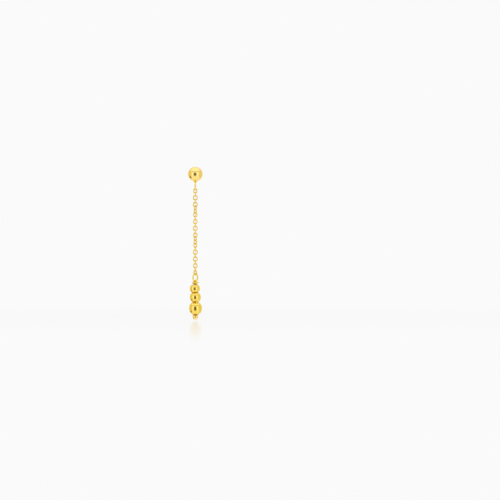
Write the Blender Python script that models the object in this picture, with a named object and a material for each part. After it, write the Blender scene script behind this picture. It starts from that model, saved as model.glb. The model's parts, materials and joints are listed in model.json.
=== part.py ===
# Gold ball-stud dangle earring: a ball on an ear post with a ring soldered under it, a cable chain of
# small oval links, a jump ring, and a pin that carries three drilled beads above its ball end.
# Metres, +Z up. The ear is behind the ball, at +Y. The origin is where the post leaves the ball's back.

import math

import bmesh
import bpy
from mathutils import Vector

MM = 0.001

# Ball stud: the ball, its post and the ring soldered under it are one piece of metal
BALL_DIAMETER = 4.0 * MM
POST_DIAMETER = 0.8 * MM
POST_LENGTH = 10.0 * MM
POST_TIP_LENGTH = 0.5 * MM
NOTCH_FROM_TIP = 2.2 * MM
NOTCH_WIDTH = 0.6 * MM
NOTCH_DEPTH = 0.1 * MM
TOP_RING_DIAMETER = 2.6 * MM
TOP_RING_WIRE = 0.4 * MM
SOLDER_SINK = 0.1 * MM  # the ring's crown reaches this far into the ball
SOLDER_RADIUS = 0.6 * MM

# Chain
LINK_COUNT = 25
LINK_WIRE = 0.29 * MM
LINK_SLACK = 0.17 * MM  # free length inside a link between the two wires that it holds
LINK_SIDE_PLAY = 0.16 * MM  # free width inside a link on each side of the thickest wire that it holds
HANGING_GAP = 0.04 * MM  # between two wires that bear on each other
# Each link's turn in degrees against the one above it: a hanging cable chain turns about a quarter
# each time, and this one has a few loose half twists
LINK_TURNS = (
    35, 55, 90, 90, 90, 60, 65, 90, 55, 120, 60, 105, 75,
    120, 95, 105, 90, 125, 110, 70, 110, 70, 120, 60, 55,
)

# Jump ring that the drop hangs on
DROP_RING_DIAMETER = 2.65 * MM
DROP_RING_WIRE = 0.42 * MM
DROP_RING_TURN = 98  # degrees against the last link

# Pin: its wire makes an eye round the jump ring, one wide turn under the eye and one tight turn above
# the beads
PIN_WIRE = 0.36 * MM
EYE_PLAY = 0.05 * MM
WIDE_TURN_DIAMETER = 2.02 * MM
WIDE_TURN_GAP = 0.06 * MM
TIGHT_TURN_DROP = 0.38 * MM  # from the wide turn's centre to the tight turn's
SOLDER_BITE = 0.03 * MM  # the tight turn's wire is pressed this far into the stem
LEAD_DIP = math.radians(30)  # where the wire leaves the eye, below its middle
LEAD_SWEEP = math.radians(35)  # where it has reached the wide turn
END_BALL_DIAMETER = 1.5 * MM

# Beads, from the top: diameter, length of the round body, diameter of the flat drilled ends, how far
# the bead has slid to the side on its pin, and how far it tips in degrees
BEADS = {
    "bead_small": {
        "diameter": 2.75 * MM, "body": 1.87 * MM, "end": 1.70 * MM, "aside": -0.13 * MM, "tip": -1.5,
    },
    "bead_medium": {
        "diameter": 3.00 * MM, "body": 2.26 * MM, "end": 1.75 * MM, "aside": 0, "tip": -4.0,
    },
    "bead_large": {
        "diameter": 3.50 * MM, "body": 3.10 * MM, "end": 1.50 * MM, "aside": 0.05 * MM, "tip": 0,
    },
}
BEAD_SQUARENESS = 2.3  # 2 is an ellipse, and more fills out the shoulders
BEAD_LIP = 0.10 * MM  # height of the short collar round each hole
BEAD_SHOULDER = 0.06 * MM  # the body starts this much wider than the collar
BEAD_GAP = 0.04 * MM
BORE_PLAY = 0.20 * MM

# Facets
ROUND_SIDES = 16
LINK_END_STEPS = 6
ARC_STEPS = 8
FLARE_STEPS = 5
WIRE_RESOLUTION = 1  # a bevel's resolution, which gives the wire six sides
SMOOTH_ANGLE = math.radians(50)
WELD = 1e-7
GOLD = (0.93, 0.62, 0.18, 1.0)

# Sizes and heights that follow from the ones above
thickest_wire = max(LINK_WIRE, TOP_RING_WIRE, DROP_RING_WIRE)
link_opening = LINK_WIRE + thickest_wire + 2 * HANGING_GAP + LINK_SLACK
link_opening_width = thickest_wire + 2 * LINK_SIDE_PLAY
link_pitch = link_opening - HANGING_GAP
hang_y = -BALL_DIAMETER / 2

top_ring_z = -(BALL_DIAMETER / 2 - SOLDER_SINK + TOP_RING_DIAMETER / 2)
first_link_z = top_ring_z - TOP_RING_DIAMETER / 2 + TOP_RING_WIRE + HANGING_GAP - link_opening / 2
last_link_z = first_link_z - (LINK_COUNT - 1) * link_pitch
ring_pivot_z = last_link_z - link_opening / 2 - LINK_WIRE / 2

drop_ring_bore = DROP_RING_DIAMETER / 2 - DROP_RING_WIRE
drop_ring_z = last_link_z - link_opening / 2 + HANGING_GAP - drop_ring_bore
drop_pivot_z = drop_ring_z - drop_ring_bore - DROP_RING_WIRE / 2

eye_radius = DROP_RING_WIRE / 2 + EYE_PLAY + PIN_WIRE / 2
eye_z = drop_ring_z - drop_ring_bore + HANGING_GAP - DROP_RING_WIRE / 2 - EYE_PLAY
wide_radius = (WIDE_TURN_DIAMETER - PIN_WIRE) / 2
wide_reach = DROP_RING_DIAMETER / 2 + PIN_WIRE / 2 + WIDE_TURN_GAP
wide_z = drop_ring_z - math.sqrt(wide_reach**2 - wide_radius**2)
tight_radius = PIN_WIRE - SOLDER_BITE
tight_z = wide_z - TIGHT_TURN_DROP
beads_top_z = tight_z - PIN_WIRE / 2 - BEAD_GAP
bore = PIN_WIRE + 2 * BORE_PLAY


def gold(name, roughness):
    material = bpy.data.materials.new(name)
    material.use_nodes = True
    shader = material.node_tree.nodes["Principled BSDF"]
    shader.inputs["Base Color"].default_value = GOLD
    shader.inputs["Metallic"].default_value = 1.0
    shader.inputs["Roughness"].default_value = roughness
    material.diffuse_color = GOLD
    return material


def placed(name, mesh, material, parent=None, location=(0, 0, 0), rotation=(0, 0, 0)):
    """An object at this world location, kept there when it is parented to an empty without rotation."""
    piece = bpy.data.objects.new(name, mesh)
    if not mesh.materials:
        mesh.materials.append(material)
    bpy.context.scene.collection.objects.link(piece)
    piece.parent = parent
    piece.location = Vector(location) - (parent.matrix_world.translation if parent else Vector())
    piece.rotation_euler = rotation
    return piece


def pivot(name, location, parent=None):
    """An empty on a joint's axis, which carries all that swings there."""
    empty = bpy.data.objects.new(name, None)
    empty.empty_display_size = MM
    bpy.context.scene.collection.objects.link(empty)
    empty.parent = parent
    empty.location = Vector(location) - (parent.matrix_world.translation if parent else Vector())
    bpy.context.view_layer.update()
    return empty


def finished(mesh_data, build):
    """Writes a bmesh into mesh data, welded, facing out and shaded smooth."""
    bmesh.ops.remove_doubles(build, verts=build.verts, dist=WELD)
    bmesh.ops.recalc_face_normals(build, faces=build.faces)
    build.to_mesh(mesh_data)
    build.free()
    mesh_data.shade_smooth()
    mesh_data.set_sharp_from_angle(angle=SMOOTH_ANGLE)
    return mesh_data


def turned(name, profile, closed=False):
    """A mesh turned about Z from (radius, height) points: a loop, or a line that starts and ends on Z."""
    build = bmesh.new()
    points = [build.verts.new((radius, 0, height)) for radius, height in profile]
    ends = zip(points, points[1:] + points[:1]) if closed else zip(points, points[1:])
    edges = [build.edges.new(pair) for pair in ends]
    bmesh.ops.spin(
        build,
        geom=points + edges,
        cent=(0, 0, 0),
        axis=(0, 0, 1),
        angle=math.tau,
        steps=ROUND_SIDES,
        use_merge=True,
    )
    return finished(bpy.data.meshes.new(name), build)


def wire(name, points, diameter, cyclic=True):
    """A mesh of round wire along these points, made by a bevelled curve."""
    curve = bpy.data.curves.new(name, "CURVE")
    curve.dimensions = "3D"
    curve.bevel_depth = diameter / 2
    curve.bevel_resolution = WIRE_RESOLUTION
    curve.use_fill_caps = not cyclic
    spline = curve.splines.new("POLY")
    spline.points.add(len(points) - 1)
    for target, point in zip(spline.points, points):
        target.co = (*point, 1)
    spline.use_cyclic_u = cyclic
    guide = bpy.data.objects.new(name, curve)
    bpy.context.scene.collection.objects.link(guide)
    graph = bpy.context.evaluated_depsgraph_get()
    mesh = bpy.data.meshes.new_from_object(guide.evaluated_get(graph))
    bpy.data.objects.remove(guide)
    bpy.data.curves.remove(curve)
    build = bmesh.new()
    build.from_mesh(mesh)
    return finished(mesh, build)


def arc(radius, start, end, steps, centre=0.0):
    """(radius, height) points of a circle about a centre on Z, from one angle in degrees to another."""
    angles = (math.radians(start + (end - start) * step / steps) for step in range(steps + 1))
    return [(radius * math.cos(angle), centre + radius * math.sin(angle)) for angle in angles]


def circle(radius, height=0.0):
    """Points of a ring that stands in the XZ plane."""
    angles = (math.tau * step / ROUND_SIDES for step in range(ROUND_SIDES))
    return [(radius * math.sin(angle), 0, height + radius * math.cos(angle)) for angle in angles]


def level_circle(radius, height):
    """Points of a ring that lies level at this height."""
    angles = (math.tau * step / ROUND_SIDES for step in range(ROUND_SIDES))
    return [(radius * math.cos(angle), radius * math.sin(angle), height) for angle in angles]


def joined(piece, others, solver="EXACT"):
    """Unites other meshes with this piece, as solder or the same wire would."""
    for other in others:
        other.hide_render = True
        other.display_type = "WIRE"
        union = piece.modifiers.new("solder " + other.name, "BOOLEAN")
        union.operation = "UNION"
        union.solver = solver
        union.object = other
    return piece


def stud_profile():
    """Ball, post, notch for an ear nut and round tip, with Z along the post and 0 at the ball's back."""
    ball_radius = BALL_DIAMETER / 2
    post_radius = POST_DIAMETER / 2
    notch_end = POST_LENGTH - NOTCH_FROM_TIP
    notch_start = notch_end - NOTCH_WIDTH
    neck_angle = math.degrees(math.acos(post_radius / ball_radius))
    ball = arc(ball_radius, -90, neck_angle, ARC_STEPS, centre=-ball_radius)
    post = [
        (post_radius, notch_start),
        (post_radius - NOTCH_DEPTH, notch_start + NOTCH_WIDTH / 3),
        (post_radius - NOTCH_DEPTH, notch_end - NOTCH_WIDTH / 3),
        (post_radius, notch_end),
    ]
    tip = [
        (radius, POST_LENGTH - POST_TIP_LENGTH + height * POST_TIP_LENGTH / post_radius)
        for radius, height in arc(post_radius, 0, 90, ARC_STEPS // 2)
    ]
    return [(0, -2 * ball_radius)] + ball[1:] + post + tip[:-1] + [(0, POST_LENGTH)]


def solder_profile():
    """The solder's hollow flare from the ball down to the middle of the ring's crown."""
    ball_radius = BALL_DIAMETER / 2
    top = -math.sqrt(ball_radius**2 - SOLDER_RADIUS**2)
    bottom = -ball_radius + SOLDER_SINK - TOP_RING_WIRE / 2
    narrow = TOP_RING_WIRE / 2
    flare = []
    for step in range(FLARE_STEPS + 1):
        angle = math.pi / 2 * step / FLARE_STEPS
        radius = narrow + (SOLDER_RADIUS - narrow) * (1 - math.sin(angle))
        flare.append((radius, bottom + (top - bottom) * math.cos(angle)))
    inside = top + SOLDER_SINK
    return [(0, inside), (SOLDER_RADIUS, inside)] + flare + [(0, bottom)]


def make_ball_stud(material):
    stud = placed("ball_stud", turned("ball_stud", stud_profile()), material, rotation=(-math.pi / 2, 0, 0))
    ring_mesh = wire("top_ring", circle((TOP_RING_DIAMETER - TOP_RING_WIRE) / 2), TOP_RING_WIRE)
    ring = placed("top_ring", ring_mesh, material, None, (0, hang_y, top_ring_z), (0, 0, math.pi / 2))
    solder = placed("top_solder", turned("top_solder", solder_profile()), material, None, (0, hang_y, 0))
    return joined(stud, [solder, ring])


def link_points():
    """A link's oval: two straight sides and two half circles, in the XZ plane."""
    end_radius = (link_opening_width + LINK_WIRE) / 2
    straight = (link_opening - link_opening_width) / 2
    halves = [(-90, 90, straight), (90, 270, -straight)]
    points = []
    for start, end, rise in halves:
        for step in range(LINK_END_STEPS + 1):
            angle = math.radians(start + (end - start) * step / LINK_END_STEPS)
            points.append((end_radius * math.sin(angle), 0, rise + end_radius * math.cos(angle)))
    return points


def make_chain(material):
    """The links, all of one mesh, each turned against the one above it. Returns the last link's turn."""
    mesh = wire("link", link_points(), LINK_WIRE)
    turn = 0
    for number in range(LINK_COUNT):
        turn += LINK_TURNS[number % len(LINK_TURNS)]
        place = (0, hang_y, first_link_z - number * link_pitch)
        placed(f"link_{number + 1:02d}", mesh, material, None, place, (0, 0, math.radians(turn)))
    return turn


def make_drop_ring(material, carrier, turn):
    mesh = wire("drop_ring", circle((DROP_RING_DIAMETER - DROP_RING_WIRE) / 2), DROP_RING_WIRE)
    place = (0, hang_y, drop_ring_z)
    return placed("drop_ring", mesh, material, carrier, place, (0, 0, math.radians(turn)))


def lead_points():
    """The wire's short way from the side of the eye out into the wide turn."""
    start = (eye_radius * math.cos(LEAD_DIP), 0, eye_z - eye_radius * math.sin(LEAD_DIP))
    end = (wide_radius * math.cos(LEAD_SWEEP), wide_radius * math.sin(LEAD_SWEEP), wide_z)
    middle = ((start[0] + wide_radius) / 2, end[1] / 4, (start[2] + end[2]) / 2)
    return [start, middle, end]


def pin_profile(end_ball_z):
    """The stem with its ball end, up into the bottom of the eye."""
    ball_radius = END_BALL_DIAMETER / 2
    stem_radius = PIN_WIRE / 2
    neck_angle = math.degrees(math.acos(stem_radius / ball_radius))
    ball = arc(ball_radius, -90, neck_angle, ARC_STEPS, centre=end_ball_z)
    top = eye_z - eye_radius
    return [(0, end_ball_z - ball_radius)] + ball[1:] + [(stem_radius, top), (0, top)]


def bead_profile(bead):
    """A drilled bead's section: bore, flat collar, shoulder and a squarish round belly."""
    end_radius = bead["end"] / 2
    half_body = bead["body"] / 2
    half_length = half_body + BEAD_LIP
    belly = bead["diameter"] / 2
    shoulder = end_radius + BEAD_SHOULDER
    full_height = half_body / (1 - (shoulder / belly) ** BEAD_SQUARENESS) ** (1 / BEAD_SQUARENESS)
    curve = []
    for step in range(-ARC_STEPS // 2, ARC_STEPS // 2 + 1):
        height = half_body * math.sin(math.pi * step / ARC_STEPS)
        radius = belly * (1 - (abs(height) / full_height) ** BEAD_SQUARENESS) ** (1 / BEAD_SQUARENESS)
        curve.append((radius, height))
    return [
        (bore / 2, -half_length),
        (end_radius, -half_length),
        (end_radius, -half_body),
        *curve,
        (end_radius, half_body),
        (end_radius, half_length),
        (bore / 2, half_length),
    ]


def make_beads(material, carrier):
    """The beads, each under the one above with room for its tip. Returns the height of the last one's foot."""
    height = beads_top_z
    above_tip = 0
    for name, bead in BEADS.items():
        half_length = bead["body"] / 2 + BEAD_LIP
        height -= bead["end"] / 2 * math.sin(math.radians(abs(bead["tip"] - above_tip)))
        place = (bead["aside"], hang_y, height - half_length)
        mesh = turned(name, bead_profile(bead), closed=True)
        placed(name, mesh, material, carrier, place, (0, math.radians(bead["tip"]), 0))
        height -= 2 * half_length + BEAD_GAP
        above_tip = bead["tip"]
    return height + BEAD_GAP


def make_bead_pin(material, carrier, turn, beads_foot_z):
    end_ball_radius = END_BALL_DIAMETER / 2
    seat = math.sqrt(max(end_ball_radius**2 - (bore / 2) ** 2, 0))
    end_ball_z = beads_foot_z - BEAD_GAP - seat
    place, rotation = (0, hang_y, 0), (0, 0, math.radians(turn))
    stem = turned("bead_pin", pin_profile(end_ball_z))
    pin = placed("bead_pin", stem, material, carrier, place, rotation)
    routes = {
        "pin_eye": (circle(eye_radius, eye_z), True),
        "pin_wide_turn": (level_circle(wide_radius, wide_z), True),
        "pin_tight_turn": (level_circle(tight_radius, tight_z), True),
        "pin_lead": (lead_points(), False),
    }
    wires = []
    for name, (points, cyclic) in routes.items():
        mesh = wire(name, points, PIN_WIRE, cyclic)
        wires.append(placed(name, mesh, material, carrier, place, rotation))
    return joined(pin, wires, "MANIFOLD")  # the exact solver leaves open edges where these fine wires cross


def main():
    for old in list(bpy.data.objects):
        bpy.data.objects.remove(old)
    make_ball_stud(gold("stud gold", 0.08))
    last_turn = make_chain(gold("chain gold", 0.15))
    ring_pivot = pivot("ring_swing_pivot", (0, hang_y, ring_pivot_z))
    drop_pivot = pivot("drop_swing_pivot", (0, hang_y, drop_pivot_z), ring_pivot)
    ring_turn = last_turn + DROP_RING_TURN
    make_drop_ring(gold("ring gold", 0.12), ring_pivot, ring_turn)
    beads_foot_z = make_beads(gold("bead gold", 0.08), drop_pivot)
    make_bead_pin(gold("pin gold", 0.10), drop_pivot, ring_turn + 90, beads_foot_z)


main()
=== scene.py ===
import json
import math

import bmesh
import bpy
import numpy as np
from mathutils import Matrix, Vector, noise


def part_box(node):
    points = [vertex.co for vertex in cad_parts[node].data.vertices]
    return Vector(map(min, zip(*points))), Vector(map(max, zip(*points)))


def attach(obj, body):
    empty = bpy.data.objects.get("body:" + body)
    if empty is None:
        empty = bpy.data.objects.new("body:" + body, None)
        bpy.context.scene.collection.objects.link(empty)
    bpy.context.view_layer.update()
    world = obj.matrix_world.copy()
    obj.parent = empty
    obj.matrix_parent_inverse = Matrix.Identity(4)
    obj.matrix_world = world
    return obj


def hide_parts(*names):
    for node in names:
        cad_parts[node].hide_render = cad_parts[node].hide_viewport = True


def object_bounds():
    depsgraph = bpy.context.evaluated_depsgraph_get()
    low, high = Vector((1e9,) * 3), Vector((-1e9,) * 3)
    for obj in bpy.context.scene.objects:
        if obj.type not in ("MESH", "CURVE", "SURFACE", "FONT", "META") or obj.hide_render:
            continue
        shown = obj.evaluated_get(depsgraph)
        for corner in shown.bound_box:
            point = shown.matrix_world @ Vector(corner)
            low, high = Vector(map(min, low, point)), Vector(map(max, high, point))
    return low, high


# Gold ball-stud dangle earring: smooth polished pieces over the plain solids of the frame
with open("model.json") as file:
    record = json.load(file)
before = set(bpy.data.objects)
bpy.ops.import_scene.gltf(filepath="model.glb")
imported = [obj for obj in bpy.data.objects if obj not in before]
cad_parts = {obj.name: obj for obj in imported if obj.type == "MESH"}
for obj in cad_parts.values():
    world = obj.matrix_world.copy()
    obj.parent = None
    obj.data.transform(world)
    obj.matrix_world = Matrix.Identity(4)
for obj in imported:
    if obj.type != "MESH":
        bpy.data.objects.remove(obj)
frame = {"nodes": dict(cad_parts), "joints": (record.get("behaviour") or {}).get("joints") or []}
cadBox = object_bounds()
mm = 0.001
jointsByName = {joint["name"]: joint for joint in frame["joints"]}


# Camera: a long lens, level with the middle of the picture. The earring hangs to the left of that,
# and the size and place of its ball in the picture set where the camera stands.
shot = {
    "pictureWidth": 500,
    "ballColumn": 195.3,
    "ballRow": 174.1,
    "ballPixels": 14.8,
    "ballDiameter": 4.0 * mm,
    "lens": 200,
    "sensor": 36,
    "nearest": 0.01,
    "farthest": 10,
}


def makeCamera():
    pixel = shot["ballDiameter"] / shot["ballPixels"]
    middle = shot["pictureWidth"] / 2
    distance = shot["pictureWidth"] * pixel * shot["lens"] / shot["sensor"]
    across = (middle - shot["ballColumn"]) * pixel
    height = (shot["ballRow"] - middle) * pixel
    camera = bpy.data.objects.new("pictureCamera", bpy.data.cameras.new("pictureCamera"))
    camera.data.lens = shot["lens"]
    camera.data.sensor_width = shot["sensor"]
    camera.data.clip_start = shot["nearest"]
    camera.data.clip_end = shot["farthest"]
    camera.location = (across, -shot["ballDiameter"] / 2 - distance, height)
    camera.rotation_euler = (math.pi / 2, 0, 0)
    bpy.context.scene.collection.objects.link(camera)
    bpy.context.scene.camera = camera


makeCamera()
print("camera: placed")


# Studio: a pale tent that only reflections see, in front of a plain pale backdrop
studio = {
    "backdrop": 0.956,
    "tent": (0.94, 0.91, 0.80),
    "floorGap": 0.20 * mm,
    "floorReach": 1.6,
    "floorMirror": 0.34,
    "mirrorGap": 0.02 * mm,
    "mirrorBlur": 0.11,
    "mirrorFades": (0.04, 0.20),
}
# What stands in the tent, from the back to the front: where it is, its half width and soft edge in
# degrees, and the light that comes from it
tentShapes = {
    "backWall": {
        "toward": (0, 1, 0), "halfWidth": 34, "edge": 16, "light": (0.956, 0.956, 0.956),
    },
    "underTable": {
        "toward": (0, -0.35, -1), "halfWidth": 58, "edge": 16, "light": (1.04, 1.03, 0.94),
    },
    "overheadBox": {
        "toward": (0, -0.30, 1), "halfWidth": 52, "edge": 7, "light": (1.16, 1.16, 1.20),
    },
    "leftWall": {
        "toward": (-1, 0.25, 0), "halfWidth": 40, "edge": 14, "light": (0.86, 0.77, 0.48),
    },
    "rightWall": {
        "toward": (1, 0.25, 0), "halfWidth": 40, "edge": 14, "light": (0.88, 0.81, 0.52),
    },
    "leftPanel": {
        "toward": (-0.66, -0.75, 0), "halfWidth": 19, "edge": 7, "light": (1.22, 1.27, 1.45),
    },
    "rightPanel": {
        "toward": (0.58, -0.81, 0.05), "halfWidth": 20, "edge": 7, "light": (1.22, 1.27, 1.45),
    },
    "cameraStand": {
        "toward": (-0.06, -1, -0.24), "halfWidth": 25, "edge": 9, "light": (0.92, 0.82, 0.50),
    },
    "frontOpening": {
        "toward": (-0.06, -1, -0.05), "halfWidth": 24, "edge": 12, "light": (0.23, 0.175, 0.055),
    },
    "sideCard": {
        "toward": (-0.81, 0.18, -0.55), "halfWidth": 14, "edge": 6, "light": (0.22, 0.16, 0.04),
    },
}
frontBar = {"lowest": 0.51, "highest": 0.62, "edge": 0.05, "front": 0.42, "light": (0.64, 0.58, 0.40)}


def colourMix(nodes):
    # this node has sockets of the same names for other kinds of value, so its colours go by number
    mix = nodes.new("ShaderNodeMix")
    mix.data_type = "RGBA"
    share, first, second = mix.inputs[0], mix.inputs[6], mix.inputs[7]
    return share, first, second, mix.outputs[2]


def makeTent():
    world = bpy.data.worlds.new("tent")
    world.use_nodes = True
    bpy.context.scene.world = world
    nodes, links = world.node_tree.nodes, world.node_tree.links
    nodes.clear()
    direction = nodes.new("ShaderNodeTexCoord").outputs["Generated"]
    parts = nodes.new("ShaderNodeSeparateXYZ")
    links.new(direction, parts.inputs[0])

    def smooth(value, low, high):
        softEdge = nodes.new("ShaderNodeMapRange")
        softEdge.interpolation_type = "SMOOTHSTEP"
        softEdge.inputs["From Min"].default_value = low
        softEdge.inputs["From Max"].default_value = high
        links.new(value, softEdge.inputs["Value"])
        return softEdge.outputs["Result"]

    def times(first, second):
        product = nodes.new("ShaderNodeMath")
        product.operation = "MULTIPLY"
        links.new(first, product.inputs[0])
        links.new(second, product.inputs[1])
        return product.outputs[0]

    def covered(under, mask, light):
        share, first, second, result = colourMix(nodes)
        first.default_value = (*studio["tent"], 1)
        if under:
            links.new(under, first)
        second.default_value = (*light, 1)
        links.new(mask, share)
        return result

    seenLight = None
    for name, shape in tentShapes.items():
        facing = nodes.new("ShaderNodeVectorMath")
        facing.operation = "DOT_PRODUCT"
        facing.label = name
        facing.inputs[1].default_value = Vector(shape["toward"]).normalized()
        links.new(direction, facing.inputs[0])
        outer = math.cos(math.radians(shape["halfWidth"] + shape["edge"] / 2))
        inner = math.cos(math.radians(shape["halfWidth"] - shape["edge"] / 2))
        seenLight = covered(seenLight, smooth(facing.outputs["Value"], outer, inner), shape["light"])
    # the tent's frame crosses its front as one level bar above the opening
    edge = frontBar["edge"]
    above = smooth(parts.outputs["Z"], frontBar["lowest"] - edge, frontBar["lowest"])
    below = smooth(parts.outputs["Z"], frontBar["highest"] + edge, frontBar["highest"])
    ahead = smooth(parts.outputs["Y"], -frontBar["front"] + edge, -frontBar["front"] - edge)
    seenLight = covered(seenLight, times(times(above, below), ahead), frontBar["light"])

    tentLight = nodes.new("ShaderNodeBackground")
    links.new(seenLight, tentLight.inputs["Color"])
    backdrop = nodes.new("ShaderNodeBackground")
    backdrop.inputs["Color"].default_value = (1, 1, 1, 1)
    backdrop.inputs["Strength"].default_value = studio["backdrop"]
    # plain where it is seen past the earring, and for all that is seen through the clear floor
    path = nodes.new("ShaderNodeLightPath")
    plain = nodes.new("ShaderNodeMath")
    plain.operation = "MAXIMUM"
    links.new(path.outputs["Is Camera Ray"], plain.inputs[0])
    links.new(path.outputs["Transmission Depth"], plain.inputs[1])
    plain.use_clamp = True
    choice = nodes.new("ShaderNodeMixShader")
    links.new(plain.outputs[0], choice.inputs[0])
    links.new(tentLight.outputs[0], choice.inputs[1])
    links.new(backdrop.outputs[0], choice.inputs[2])
    links.new(choice.outputs[0], nodes.new("ShaderNodeOutputWorld").inputs["Surface"])
    bpy.context.scene.view_settings.view_transform = "Standard"


def oneSided(nodes, links, front):
    # seen from below, the floor is clear
    sides = nodes.new("ShaderNodeMixShader")
    links.new(nodes.new("ShaderNodeNewGeometry").outputs["Backfacing"], sides.inputs[0])
    links.new(front, sides.inputs[1])
    links.new(nodes.new("ShaderNodeBsdfTransparent").outputs[0], sides.inputs[2])
    links.new(sides.outputs[0], nodes.new("ShaderNodeOutputMaterial").inputs["Surface"])


def floorSheet(name, height):
    reach = studio["floorReach"]
    mesh = bpy.data.meshes.new(name)
    corners = [(-reach, -reach, 0), (reach, -reach, 0), (reach, reach, 0), (-reach, reach, 0)]
    mesh.from_pydata(corners, [], [(0, 1, 2, 3)])
    sheet = bpy.data.objects.new(name, mesh)
    sheet.location.z = height
    sheet.visible_diffuse = False
    sheet.visible_glossy = False
    bpy.context.scene.collection.objects.link(sheet)
    surface = bpy.data.materials.new(name)
    surface.use_nodes = True
    surface.node_tree.nodes.clear()
    mesh.materials.append(surface)
    return surface.node_tree.nodes, surface.node_tree.links


def makeFloor():
    # a pale clear sheet with a soft mirror just under it, which shows only near the earring's foot
    top = cadBox[0].z - studio["floorGap"]
    nodes, links = floorSheet("paleAcrylic", top)
    pale = nodes.new("ShaderNodeEmission")
    pale.inputs["Strength"].default_value = studio["backdrop"]
    clear = nodes.new("ShaderNodeBsdfRefraction")
    clear.inputs["IOR"].default_value = 1
    clear.inputs["Roughness"].default_value = 0
    away = nodes.new("ShaderNodeVectorMath")
    away.operation = "LENGTH"
    links.new(nodes.new("ShaderNodeTexCoord").outputs["Object"], away.inputs[0])
    fade = nodes.new("ShaderNodeMapRange")
    fade.interpolation_type = "SMOOTHSTEP"
    fade.inputs["From Min"].default_value, fade.inputs["From Max"].default_value = studio["mirrorFades"]
    fade.inputs["To Min"].default_value = studio["floorMirror"]
    fade.inputs["To Max"].default_value = 0
    links.new(away.outputs["Value"], fade.inputs["Value"])
    mixed = nodes.new("ShaderNodeMixShader")
    links.new(fade.outputs["Result"], mixed.inputs[0])
    links.new(pale.outputs[0], mixed.inputs[1])
    links.new(clear.outputs[0], mixed.inputs[2])
    oneSided(nodes, links, mixed.outputs[0])

    nodes, links = floorSheet("softMirror", top - studio["mirrorGap"])
    gloss = nodes.new("ShaderNodeBsdfGlossy")
    gloss.inputs["Color"].default_value = (1, 1, 1, 1)
    gloss.inputs["Roughness"].default_value = studio["mirrorBlur"]
    oneSided(nodes, links, gloss.outputs[0])


makeTent()
makeFloor()
print("studio: tent and floor")


# Gold: one recipe, and a mix of it for each kind of piece. Sizes are those of the marks on the metal.
# Each mix's shade colour is painted shade: a deeper, warmer gold put into the hollows and between
# parts, where shade and the glow of the gold round them fall, and wornDull is how much rougher they
# are.
goldMixes = {
    "mirrorGold": {
        "pale": (0.970, 0.762, 0.292), "deep": (0.945, 0.717, 0.232), "cloud": 1.4 * mm,
        "paintedShade": (0.80, 0.54, 0.08), "wornDull": 0.10, "shine": 0.06, "dull": 0.11,
        "mark": 0.12 * mm, "markDepth": 0.0006 * mm, "stretch": (1, 1, 6),
        "ripple": 0.9 * mm, "rippleDepth": 0.004 * mm,
    },
    "beadGold": {
        "pale": (0.952, 0.740, 0.195), "deep": (0.905, 0.667, 0.118), "cloud": 1.2 * mm,
        "paintedShade": (0.69, 0.43, 0.015), "wornDull": 0.40, "shine": 0.06, "dull": 0.13,
        "mark": 0.10 * mm, "markDepth": 0.0010 * mm, "stretch": (1, 1, 9),
        "ripple": 0.7 * mm, "rippleDepth": 0.005 * mm,
    },
    "chainGold": {
        "pale": (0.950, 0.778, 0.280), "deep": (0.895, 0.692, 0.165), "cloud": 0.7 * mm,
        "paintedShade": (0.90, 0.650, 0.030), "wornDull": 0, "shine": 0.09, "dull": 0.20,
        "mark": 0.05 * mm, "markDepth": 0.0012 * mm, "stretch": (1, 1, 0.4),
        "ripple": 0.3 * mm, "rippleDepth": 0.002 * mm,
    },
    "wireGold": {
        "pale": (0.960, 0.790, 0.225), "deep": (0.910, 0.715, 0.125), "cloud": 0.8 * mm,
        "paintedShade": (0.83, 0.63, 0.025), "wornDull": 0.10, "shine": 0.07, "dull": 0.16,
        "mark": 0.06 * mm, "markDepth": 0.0010 * mm, "stretch": (1, 1, 0.6),
        "ripple": 0.4 * mm, "rippleDepth": 0.002 * mm,
    },
    "solderGold": {
        "pale": (0.920, 0.690, 0.220), "deep": (0.830, 0.570, 0.110), "cloud": 0.4 * mm,
        "paintedShade": (0.94, 0.73, 0.02), "wornDull": 0.15, "shine": 0.14, "dull": 0.30,
        "mark": 0.07 * mm, "markDepth": 0.0030 * mm, "stretch": (1, 1, 1),
        "ripple": 0.25 * mm, "rippleDepth": 0.006 * mm,
    },
}
# how fine each noise is, and the range that nearly all of a noise's values lie in
noiseDetail = {"cloud": 2, "mark": 6, "ripple": 1}
noiseRange = (0.3, 0.7)


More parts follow.
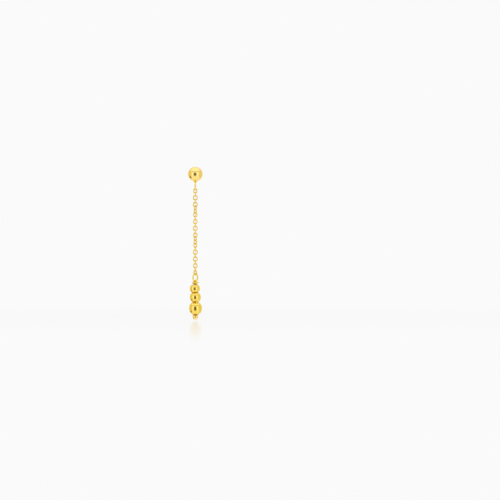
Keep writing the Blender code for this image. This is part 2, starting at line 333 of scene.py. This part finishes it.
def goldFinish(name, mix):
    gold = bpy.data.materials.new(name)
    gold.use_nodes = True
    nodes, links = gold.node_tree.nodes, gold.node_tree.links
    shader = nodes["Principled BSDF"]
    shader.inputs["Metallic"].default_value = 1
    place = nodes.new("ShaderNodeTexCoord").outputs["Object"]

    def pattern(kind, stretch=None):
        texture = nodes.new("ShaderNodeTexNoise")
        texture.inputs["Scale"].default_value = 1 / mix[kind]
        texture.inputs["Detail"].default_value = noiseDetail[kind]
        where = place
        if stretch:
            pull = nodes.new("ShaderNodeMapping")
            pull.inputs["Scale"].default_value = stretch
            links.new(place, pull.inputs["Vector"])
            where = pull.outputs["Vector"]
        links.new(where, texture.inputs["Vector"])
        return texture.outputs["Fac"]

    def spread(value, low, high):
        between = nodes.new("ShaderNodeMapRange")
        between.inputs["From Min"].default_value, between.inputs["From Max"].default_value = noiseRange
        between.inputs["To Min"].default_value = low
        between.inputs["To Max"].default_value = high
        links.new(value, between.inputs["Value"])
        return between.outputs["Result"]

    # the alloy's colour drifts a little, as plating does
    share, pale, deep, colour = colourMix(nodes)
    pale.default_value = (*mix["pale"], 1)
    deep.default_value = (*mix["deep"], 1)
    links.new(spread(pattern("cloud"), 0, 1), share)

    # each mesh says where its hollows are, and there the colour goes over to a deeper, warmer gold as
    # painted shade
    hollow = nodes.new("ShaderNodeAttribute")
    hollow.attribute_name = "hollow"
    hollowShare, unshaded, paintedShade, finalColour = colourMix(nodes)
    paintedShade.default_value = (*mix["paintedShade"], 1)
    links.new(hollow.outputs["Fac"], hollowShare)
    links.new(colour, unshaded)
    links.new(finalColour, shader.inputs["Base Color"])

    # fine handling marks dull the polish in patches, and no wheel reaches into the hollows
    marks = pattern("mark", mix["stretch"])
    duller = nodes.new("ShaderNodeMath")
    duller.operation = "MULTIPLY_ADD"
    duller.inputs[1].default_value = mix["wornDull"]
    links.new(hollow.outputs["Fac"], duller.inputs[0])
    links.new(spread(marks, mix["shine"], mix["dull"]), duller.inputs[2])
    links.new(duller.outputs[0], shader.inputs["Roughness"])

    # polishing leaves a soft ripple, and the marks have a little depth
    ripple = nodes.new("ShaderNodeBump")
    ripple.inputs["Distance"].default_value = mix["rippleDepth"]
    links.new(pattern("ripple"), ripple.inputs["Height"])
    scratch = nodes.new("ShaderNodeBump")
    scratch.inputs["Distance"].default_value = mix["markDepth"]
    links.new(marks, scratch.inputs["Height"])
    links.new(ripple.outputs["Normal"], scratch.inputs["Normal"])
    links.new(scratch.outputs["Normal"], shader.inputs["Normal"])
    return gold


golds = {name: goldFinish(name, mix) for name, mix in goldMixes.items()}
print("metal:", len(golds), "gold finishes")


# Tools for metal work. Sizes are in millimetres here and in the pieces' dictionaries, and the meshes
# come out in metres. In those dictionaries, hand is how wide and deep the drift of the hand polish is,
# with the piece's own number where it has one. Hollow is where a hollow starts, where it is deepest,
# and how deep it is there, from 0 to 1, which sets how much painted shade and duller polish it gets.
meshWork = {"turnedWeld": 1e-8, "turnedSharp": 40, "wireWeld": 1e-7, "wireSharp": 50}
driftPerNumber = (7.3, 3.1, 5.7)


def middleOf(node):
    low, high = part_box(node)
    return (low + high) / 2


def arcPoints(centre, radius, start, end, steps):
    angles = [math.radians(start + (end - start) * step / steps) for step in range(steps + 1)]
    return [(centre[0] + radius * math.cos(a), centre[1] + radius * math.sin(a)) for a in angles]


def ramp(value, low, high):
    share = min(max((value - low) / (high - low), 0), 1)
    return share * share * (3 - 2 * share)


def welded(build, mesh, distance, sharpAngle):
    bmesh.ops.remove_doubles(build, verts=build.verts, dist=distance)
    bmesh.ops.recalc_face_normals(build, faces=build.faces)
    build.to_mesh(mesh)
    build.free()
    mesh.shade_smooth()
    mesh.set_sharp_from_angle(angle=math.radians(sharpAngle))
    return mesh


def turned(name, profile, sides, closed=False):
    build = bmesh.new()
    points = [build.verts.new((radius * mm, 0, height * mm)) for radius, height in profile]
    ends = zip(points, points[1:] + points[:1]) if closed else zip(points, points[1:])
    edges = [build.edges.new(pair) for pair in ends]
    bmesh.ops.spin(
        build, geom=points + edges, cent=(0, 0, 0), axis=(0, 0, 1),
        angle=math.tau, steps=sides, use_merge=True,
    )
    mesh = bpy.data.meshes.new(name)
    return welded(build, mesh, meshWork["turnedWeld"], meshWork["turnedSharp"])


def wire(name, path, diameter, closed=False, swell=None, roundness=6):
    curve = bpy.data.curves.new(name, "CURVE")
    curve.dimensions = "3D"
    curve.bevel_depth = diameter * mm / 2
    curve.bevel_resolution = roundness
    curve.use_fill_caps = not closed
    line = curve.splines.new("POLY")
    line.points.add(len(path) - 1)
    for number, (target, spot) in enumerate(zip(line.points, path)):
        target.co = (spot[0] * mm, spot[1] * mm, spot[2] * mm, 1)
        target.radius = swell[number] if swell else 1
    line.use_cyclic_u = closed
    guide = bpy.data.objects.new(name, curve)
    bpy.context.scene.collection.objects.link(guide)
    shape = guide.evaluated_get(bpy.context.evaluated_depsgraph_get())
    mesh = bpy.data.meshes.new_from_object(shape)
    bpy.data.objects.remove(guide)
    bpy.data.curves.remove(curve)
    # the curve's end caps come loose from its tube, so they are welded on
    build = bmesh.new()
    build.from_mesh(mesh)
    return welded(build, mesh, meshWork["wireWeld"], meshWork["wireSharp"])


def handWorked(mesh, size, depth, number):
    # hand polish leaves a surface a few thousandths out of true
    drift = Vector([number * step for step in driftPerNumber])
    shifts = [
        vertex.normal * depth * mm * noise.noise(vertex.co / (size * mm) + drift)
        for vertex in mesh.vertices
    ]
    for vertex, shift in zip(mesh.vertices, shifts):
        vertex.co += shift
    return mesh


def hollowDepth(distance, hollow, unit=1):
    start, deepest, depth = hollow
    return depth * ramp(distance, start * unit, deepest * unit)


def hollowed(mesh, rule):
    # how deep in a hollow each point lies, for the gold's painted shade and its duller polish
    depth = mesh.attributes.new("hollow", "FLOAT", "POINT")
    depth.data.foreach_set("value", [rule(*(vertex.co / mm)) for vertex in mesh.vertices])


def setPiece(name, mesh, gold, body, at=(0, 0, 0), turn=(0, 0, 0), standsFor=()):
    mesh.materials.clear()
    mesh.materials.append(golds[gold])
    piece = bpy.data.objects.new(name, mesh)
    piece.location = at
    piece.rotation_euler = [math.radians(angle) for angle in turn]
    bpy.context.scene.collection.objects.link(piece)
    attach(piece, body)
    if standsFor:
        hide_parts(*standsFor)


# Ball stud: a turned ball with its ear post behind, and a ring soldered under it. The ring's hollow
# is given in shares of its reach.
stud = {
    "ball": 4.0, "post": 0.8, "postLength": 10.0, "rootFillet": 0.16,
    "notchFromTip": 2.2, "notchWidth": 0.6, "notchDepth": 0.1, "tipLength": 0.5,
    "sides": 128, "ballSteps": 72, "filletSteps": 8, "notchSteps": 16, "tipSteps": 12,
    "ballHand": (1.3, 0.003, 1),
    "ring": 2.6, "ringWire": 0.4, "ringSteps": 96, "ringHollow": (0.80, 1, 0.7),
    "solderSides": 48, "solderHand": (0.35, 0.02, 2), "solderHollow": 0.8,
}
# the solder's foot under the ball: its half width, and the height of that from the ball's centre
solderFlare = [
    (0.71, -1.80), (0.64, -1.90), (0.55, -1.97), (0.455, -2.05), (0.37, -2.14),
    (0.30, -2.23), (0.235, -2.30), (0.13, -2.335), (0.0, -2.345),
]


def studProfile():
    ball, post = stud["ball"] / 2, stud["post"] / 2
    fillet = stud["rootFillet"]
    rise = math.sqrt((ball + fillet) ** 2 - (post + fillet) ** 2)
    meeting = math.degrees(math.atan2(rise, post + fillet))
    profile = [(0, -2 * ball)] + arcPoints((0, -ball), ball, -90, meeting, stud["ballSteps"])[1:]
    root = (post + fillet, rise - ball)
    profile += arcPoints(root, fillet, 180 + meeting, 180, stud["filletSteps"])[1:]
    notchEnd = stud["postLength"] - stud["notchFromTip"]
    for step in range(stud["notchSteps"] + 1):
        share = step / stud["notchSteps"]
        depth = stud["notchDepth"] * math.sin(math.pi * share) ** 2
        profile.append((post - depth, notchEnd - stud["notchWidth"] * (1 - share)))
    tipStart = stud["postLength"] - stud["tipLength"]
    for radius, height in arcPoints((0, 0), 1, 0, 90, stud["tipSteps"]):
        profile.append((radius * post, tipStart + height * stud["tipLength"]))
    profile[-1] = (0, stud["postLength"])
    return profile


def makeStud():
    ballMiddle = Vector((0, -stud["ball"] / 2 * mm, 0))
    ballMesh = handWorked(turned("studBall", studProfile(), stud["sides"]), *stud["ballHand"])
    setPiece(
        "studBall", ballMesh, "mirrorGold", "stud_and_chain",
        turn=(-90, 0, 0), standsFor=["ball_stud"],
    )
    low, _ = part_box("ball_stud")
    ringMiddle = (0, ballMiddle.y, low.z + stud["ring"] / 2 * mm)
    reach = (stud["ring"] - stud["ringWire"]) / 2
    loop = [(0, y, z) for y, z in arcPoints((0, 0), reach, 0, 360, stud["ringSteps"])[:-1]]
    ringMesh = wire("studRing", loop, stud["ringWire"], closed=True)
    # the ring's top and foot, where it touches the solder and the chain, are painted in shade and
    # polished less
    hollowed(ringMesh, lambda x, y, z: hollowDepth(abs(z), stud["ringHollow"], reach))
    setPiece("studRing", ringMesh, "wireGold", "stud_and_chain", at=ringMiddle)
    flare = [(0, solderFlare[0][1])] + solderFlare
    solderMesh = handWorked(turned("studSolder", flare, stud["solderSides"]), *stud["solderHand"])
    # the whole solder is painted in shade, a deeper gold all over, as it lies under the ball, and its
    # polish is duller
    hollowed(solderMesh, lambda x, y, z: stud["solderHollow"])
    setPiece("studSolder", solderMesh, "solderGold", "stud_and_chain", at=ballMiddle)


makeStud()
print("stud: ball, post, ring and solder")


# Chain: oval links of round wire, each turned as its solid is, with its soldered joint on one side
link = {
    "wire": 0.29, "opening": 0.96, "openingWidth": 0.74, "endSteps": 22, "sideSteps": 5,
    "roundness": 5, "jointSwell": 0.10, "jointLength": 0.07, "otherSideEvery": 3,
    "endWear": 0.05, "wearFrom": 0.8, "wearOver": 0.2,
    "hand": (0.4, 0.006), "hollow": (0.22, 0.50, 1),
}


def turnOf(node):
    # the way the solid is widest, seen from above
    spots = np.array([vertex.co[:2] for vertex in frame["nodes"][node].data.vertices])
    spots = spots - spots.mean(0)
    across = np.cov(spots.T)
    return math.degrees(math.atan2(2 * across[0, 1], across[0, 0] - across[1, 1]) / 2)


def linkPath():
    reach = (link["openingWidth"] + link["wire"]) / 2
    rise = (link["opening"] - link["openingWidth"]) / 2
    top = arcPoints((0, rise), reach, 0, 180, link["endSteps"])
    foot = arcPoints((0, -rise), reach, 180, 360, link["endSteps"])
    sides = link["sideSteps"]
    down = [(-reach, rise - 2 * rise * step / sides) for step in range(1, sides)]
    up = [(reach, -rise + 2 * rise * step / sides) for step in range(1, sides)]
    return [(x, 0, z) for x, z in top + down + foot + up]


def linkSwell(path, side):
    # thicker at the soldered joint, and a little worn at both ends
    sizes = []
    highest = max(spot[2] for spot in path)
    for x, _, z in path:
        solder = 0
        if x * side > 0:
            solder = link["jointSwell"] * math.exp(-(z / link["jointLength"]) ** 2)
        wear = link["endWear"] * max(abs(z) / highest - link["wearFrom"], 0) / link["wearOver"]
        sizes.append(1 + solder - wear)
    return sizes


def makeChain():
    nodes = sorted(node for node in frame["nodes"] if node.startswith("link_"))
    path = linkPath()
    for number, node in enumerate(nodes, 1):
        name = f"chainLink{number:02d}"
        side = 1 if number % link["otherSideEvery"] else -1
        swell = linkSwell(path, side)
        mesh = wire(name, path, link["wire"], closed=True, swell=swell, roundness=link["roundness"])
        handWorked(mesh, *link["hand"], number)
        # both ends of each link, where it crosses the next ones, are painted in shade and polished less
        hollowed(mesh, lambda x, y, z: hollowDepth(abs(z), link["hollow"]))
        setPiece(
            name, mesh, "chainGold", "stud_and_chain",
            at=middleOf(node), turn=(0, 0, turnOf(node)), standsFor=[node],
        )
    print("chain:", len(nodes), "links")


makeChain()


# Jump ring: bent from one wire, with its cut ends butted together on one side. Its hollow is given in
# shares of its reach, and its end sizes are those of the filed ends, as shares of the wire.
jumpRing = {
    "outside": 2.65, "wire": 0.42, "cutAt": -28, "cutGap": 0.035, "chamfer": 0.03, "steps": 120,
    "endSizes": [0.86, 0.96], "hand": (0.6, 0.006, 31), "hollow": (0.72, 0.98, 0.8),
}


def jointPlace(name):
    joint = jointsByName[name]
    axis = joint["axis"]
    return Vector(joint["pos_m"]), math.degrees(math.atan2(axis[1], axis[0]))


def makeJumpRing():
    reach = (jumpRing["outside"] - jumpRing["wire"]) / 2
    half = math.degrees(jumpRing["cutGap"] / 2 / reach)
    start, end = jumpRing["cutAt"] + half, jumpRing["cutAt"] + 360 - half
    bevel = math.degrees(jumpRing["chamfer"] / reach)
    steps = jumpRing["steps"]
    angles = [start, start + bevel / 2]
    angles += [start + bevel + (end - start - 2 * bevel) * step / steps for step in range(steps + 1)]
    angles += [end - bevel / 2, end]
    path = [(reach * math.cos(math.radians(a)), 0, reach * math.sin(math.radians(a))) for a in angles]
    endSizes = jumpRing["endSizes"]
    swell = endSizes + [1] * (steps + 1) + endSizes[::-1]
    mesh = handWorked(wire("jumpRing", path, jumpRing["wire"], swell=swell), *jumpRing["hand"])
    # the ring's top and foot, where it holds the chain and the pin's eye, are painted in shade and
    # polished less
    hollowed(mesh, lambda x, y, z: hollowDepth(abs(z), jumpRing["hollow"], reach))
    foot, turn = jointPlace("drop_swing")
    setPiece(
        "jumpRing", mesh, "wireGold", "ring",
        at=foot + Vector((0, 0, reach * mm)), turn=(0, 0, turn), standsFor=["drop_ring"],
    )


makeJumpRing()
print("jump ring: closed")


# Pin: a ball end, a straight stem, and its own wire bent into an eye and wrapped under it. The eye is
# an arc in degrees, and the wire's hollow is given by depth under the eye's middle.
pin = {
    "wire": 0.36, "eyeReach": 0.44, "eyeBelowPivot": 0.01, "eyeArc": (228, -20), "eyeSteps": 16,
    "smoothing": 6, "tipSizes": [0.97, 0.90, 0.78],
    "wireHand": (0.5, 0.006, 41), "wireHollow": (0.26, 0.52, 0.95),
    "endBall": 1.5, "endFillet": 0.10, "stemBelowEye": 2.0,
    "sides": 96, "ballSteps": 48, "filletSteps": 8,
    "endHand": (0.8, 0.003, 42), "endHollow": (0.52, 0.70, 1),
}
# the stem's way up to the eye, from the eye's middle
stemRoute = [(0, 0, -2.6), (0, 0, -1.6), (0, 0, -0.80), (0, 0, -0.56), (-0.10, 0, -0.425)]
# the wrap's way round the stem: turn in degrees, how far out, and height from the eye's middle
wrapRoute = [
    (0, 0.385, -0.230), (28, 0.63, -0.230), (55, 0.87, -0.228), (90, 0.94, -0.225),
    (120, 0.90, -0.215), (150, 0.845, -0.200), (210, 0.845, -0.200), (240, 0.90, -0.215),
    (270, 0.94, -0.225), (300, 0.90, -0.245), (325, 0.82, -0.285), (350, 0.71, -0.370),
    (385, 0.56, -0.470), (425, 0.45, -0.535), (470, 0.405, -0.565), (560, 0.395, -0.572),
    (650, 0.395, -0.578), (740, 0.395, -0.582),
]


def smoothPath(spots, steps):
    # a rounded line through all the spots
    path = []
    for number in range(len(spots) - 1):
        before = Vector(spots[max(number - 1, 0)])
        first, second = Vector(spots[number]), Vector(spots[number + 1])
        after = Vector(spots[min(number + 2, len(spots) - 1)])
        bend = 2 * before - 5 * first + 4 * second - after
        twist = 3 * first - before - 3 * second + after
        for step in range(steps):
            t = step / steps
            path.append(0.5 * (2 * first + (second - before) * t + bend * t ** 2 + twist * t ** 3))
    return path + [Vector(spots[-1])]


def pinPath():
    eye = arcPoints((0, 0), pin["eyeReach"], *pin["eyeArc"], pin["eyeSteps"])
    spots = stemRoute + [(x, 0, z) for x, z in eye]
    for turn, out, height in wrapRoute:
        angle = math.radians(turn)
        spots.append((out * math.cos(angle), out * math.sin(angle), height))
    return smoothPath(spots, pin["smoothing"])


def makePinWire(eyeMiddle, ringTurn):
    path = pinPath()
    swell = [1] * (len(path) - len(pin["tipSizes"])) + pin["tipSizes"]
    mesh = handWorked(wire("pinWire", path, pin["wire"], swell=swell), *pin["wireHand"])
    # the wrap and the stem under the eye are painted in shade and polished less, more so lower down
    hollowed(mesh, lambda x, y, z: hollowDepth(-z, pin["wireHollow"]))
    setPiece(
        "pinWire", mesh, "wireGold", "drop",
        at=eyeMiddle, turn=(0, 0, ringTurn + 90), standsFor=["bead_pin"],
    )


def makePinEnd(eyeMiddle):
    low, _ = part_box("bead_pin")
    ball, stem, fillet = pin["endBall"] / 2, pin["wire"] / 2, pin["endFillet"]
    rise = math.sqrt((ball + fillet) ** 2 - (stem + fillet) ** 2)
    meeting = math.degrees(math.atan2(rise, stem + fillet))
    profile = [(0, -ball)] + arcPoints((0, 0), ball, -90, meeting, pin["ballSteps"])[1:]
    profile += arcPoints((stem + fillet, rise), fillet, 180 + meeting, 180, pin["filletSteps"])[1:]
    stemTop = (eyeMiddle.z - low.z) / mm - ball - pin["stemBelowEye"]
    profile += [(stem, stemTop), (0, stemTop)]
    mesh = handWorked(turned("pinEnd", profile, pin["sides"]), *pin["endHand"])
    # the top of the end ball, by its stem under the beads, is painted in shade and polished less
    hollowed(mesh, lambda x, y, z: hollowDepth(z, pin["endHollow"]))
    endMiddle = (eyeMiddle.x, eyeMiddle.y, low.z + ball * mm)
    setPiece("pinEnd", mesh, "mirrorGold", "drop", at=endMiddle)


def makePin():
    pivot, ringTurn = jointPlace("drop_swing")
    eyeMiddle = pivot - Vector((0, 0, pin["eyeBelowPivot"] * mm))
    makePinWire(eyeMiddle, ringTurn)
    makePinEnd(eyeMiddle)


makePin()
print("pin: eye, wrap and ball end")


# Beads: turned beads with a short flat collar round each hole. They sit flush: each collar's end is
# filed a little proud and at a slope, given as its rise and how much more it rises per mm to the right.
# The two numbers for each collar's painted shade, a deeper gold, are how deep it is at the collar's
# left and at its right.
beads = {
    "bead_small": {
        "piece": "beadTop", "width": 2.75, "body": 1.87, "end": 1.70, "bore": 0.80, "tip": -1.5,
        "topEnd": (0.03, 0), "footEnd": (0.037, -0.044),
        "topShade": (0.88, 0.88), "footShade": (0.88, 0.88),
    },
    "bead_medium": {
        "piece": "beadMiddle", "width": 3.00, "body": 2.26, "end": 1.75, "bore": 0.80, "tip": -6.5,
        "topEnd": (0.037, -0.043), "footEnd": (0.044, 0.057),
        "topShade": (0.88, 0.88), "footShade": (0.80, 0.10),
    },
    "bead_large": {
        "piece": "beadFoot", "width": 3.50, "body": 3.10, "end": 1.65, "bore": 1.00, "tip": 0,
        "topEnd": (0.044, 0.057), "footEnd": (0.100, 0),
        "topShade": (0.80, 0.10), "footShade": (0.88, 0.88),
    },
}
# Square fills out the shoulders, where 2 is an ellipse. The step is a fine one at the collar's root:
# how far out and up it starts, and where it ends. Painted shade on the collars rises over heights given
# from the collar's root and goes over from its left depth to its right one between two sides; shoulders
# get a little too.
beadShape = {
    "square": 2.4, "collar": 0.10, "shoulder": 0.17, "edge": 0.03,
    "stepOut": 0.015, "stepStart": 0.004, "stepEnd": 0.014, "filedOver": 0.05,
    "steps": 56, "edgeSteps": 4, "sides": 112, "hand": (1.1, 0.007), "firstNumber": 51,
    "shoulderShade": 0.12, "shoulderFrom": 0.6, "shadeHeights": (-0.03, 0.02), "shadeSides": (-0.5, 0.4),
}


def beadProfile(bead):
    halfBody, belly = bead["body"] / 2, bead["width"] / 2
    square, edge = beadShape["square"], beadShape["edge"]
    halfLength = halfBody + beadShape["collar"]
    end, bore = bead["end"] / 2, bead["bore"] / 2
    shoulder = end + beadShape["shoulder"]
    fullHeight = halfBody / (1 - (shoulder / belly) ** square) ** (1 / square)
    upper = []
    for step in range(beadShape["steps"] // 2 + 1):
        height = halfBody * math.sin(math.pi * step / beadShape["steps"])
        upper.append((belly * (1 - (height / fullHeight) ** square) ** (1 / square), height))
    upper.append((end + beadShape["stepOut"], halfBody + beadShape["stepStart"]))
    upper.append((end, halfBody + beadShape["stepEnd"]))
    # the collar's two rounded edges
    upper += arcPoints((end - edge, halfLength - edge), edge, 0, 90, beadShape["edgeSteps"])
    upper += arcPoints((bore + edge, halfLength - edge), edge, 90, 180, beadShape["edgeSteps"])
    lower = [(radius, -height) for radius, height in reversed(upper[1:])]
    return lower + upper


def fileEnds(mesh, bead):
    half = bead["body"] / 2
    for vertex in mesh.vertices:
        spot = vertex.co / mm
        rise, slope = bead["topEnd"] if spot.z > 0 else bead["footEnd"]
        share = min(max((abs(spot.z) - half - beadShape["stepEnd"]) / beadShape["filedOver"], 0), 1)
        vertex.co.z += math.copysign(share * (rise + slope * spot.x) * mm, spot.z)


def shadeAt(bead, x, z):
    # painted shade: full on the collar, and a little on the shoulder next to it
    half = bead["body"] / 2
    left, right = bead["topShade"] if z > 0 else bead["footShade"]
    collar = left + (right - left) * ramp(x, *beadShape["shadeSides"])
    low, high = beadShape["shadeHeights"]
    shoulder = beadShape["shoulderShade"] * ramp(abs(z), beadShape["shoulderFrom"] * half, half)
    return shoulder + collar * ramp(abs(z), half + low, half + high)


def makeBeads():
    for number, (node, bead) in enumerate(beads.items(), beadShape["firstNumber"]):
        mesh = turned(bead["piece"], beadProfile(bead), beadShape["sides"], closed=True)
        handWorked(mesh, *beadShape["hand"], number)
        hollowed(mesh, lambda x, y, z: shadeAt(bead, x, z))
        fileEnds(mesh, bead)
        setPiece(
            bead["piece"], mesh, "beadGold", "drop",
            at=middleOf(node), turn=(0, bead["tip"], 0), standsFor=[node],
        )


makeBeads()
print("beads:", len(beads))
